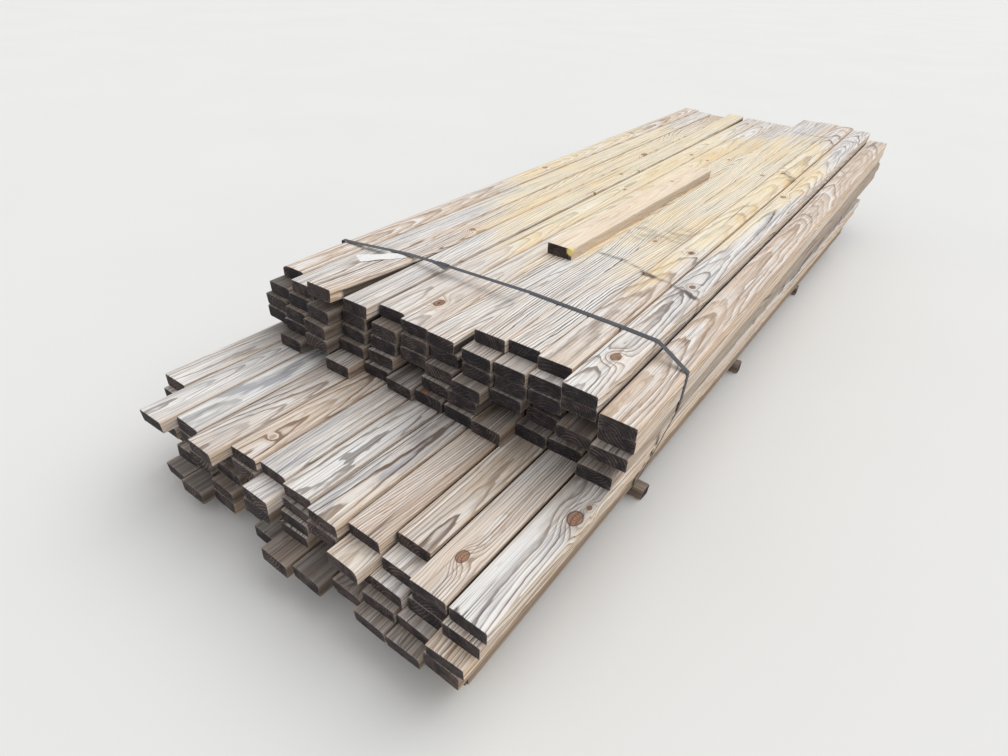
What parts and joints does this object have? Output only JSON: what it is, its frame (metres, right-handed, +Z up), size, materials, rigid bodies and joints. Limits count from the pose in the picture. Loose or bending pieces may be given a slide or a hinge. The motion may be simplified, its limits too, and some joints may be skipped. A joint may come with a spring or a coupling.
{
  "type": "stack of lumber",
  "caption": "Weathered construction boards in two strapped bundles, one on top of the other, set back from it, on square bearers, with a part layer, a loose board and a tag.",
  "frame": {"origin": "bottom centre of the whole stack, on the floor under the bearers", "axes": "+Y along the boards, away from the near ends; +X across them, to the right seen from the near ends; +Z up"},
  "size_m": [1.2308, 3.619, 0.4953],
  "materials": {
    "weathered_board": "grey and tan weathered softwood, rough, dry",
    "fresh_board": "paler cream softwood, less weathered",
    "bearer": "brown damp softwood",
    "strap": "dark blue-grey painted strapping, dull",
    "seal": "dark crimped metal, dull",
    "tag": "white weatherproof paper, matte"
  },
  "bodies": {
    "root": {"lower_layer_1": "weathered_board", "lower_layer_2": "weathered_board", "lower_layer_3": "weathered_board", "lower_layer_4": "weathered_board", "lower_layer_5": "weathered_board", "lower_layer_6": "weathered_board", "upper_layer_1": "weathered_board", "upper_layer_2": "weathered_board", "upper_layer_3": "weathered_board", "upper_layer_4": "weathered_board", "upper_layer_5": "weathered_board", "upper_layer_6": "weathered_board", "loose_board": "fresh_board", "bearer_1": "bearer", "bearer_2": "bearer", "bearer_3": "bearer", "strap": "strap", "strap_seal": "seal", "tag": "tag"}
  },
  "joints": []
}
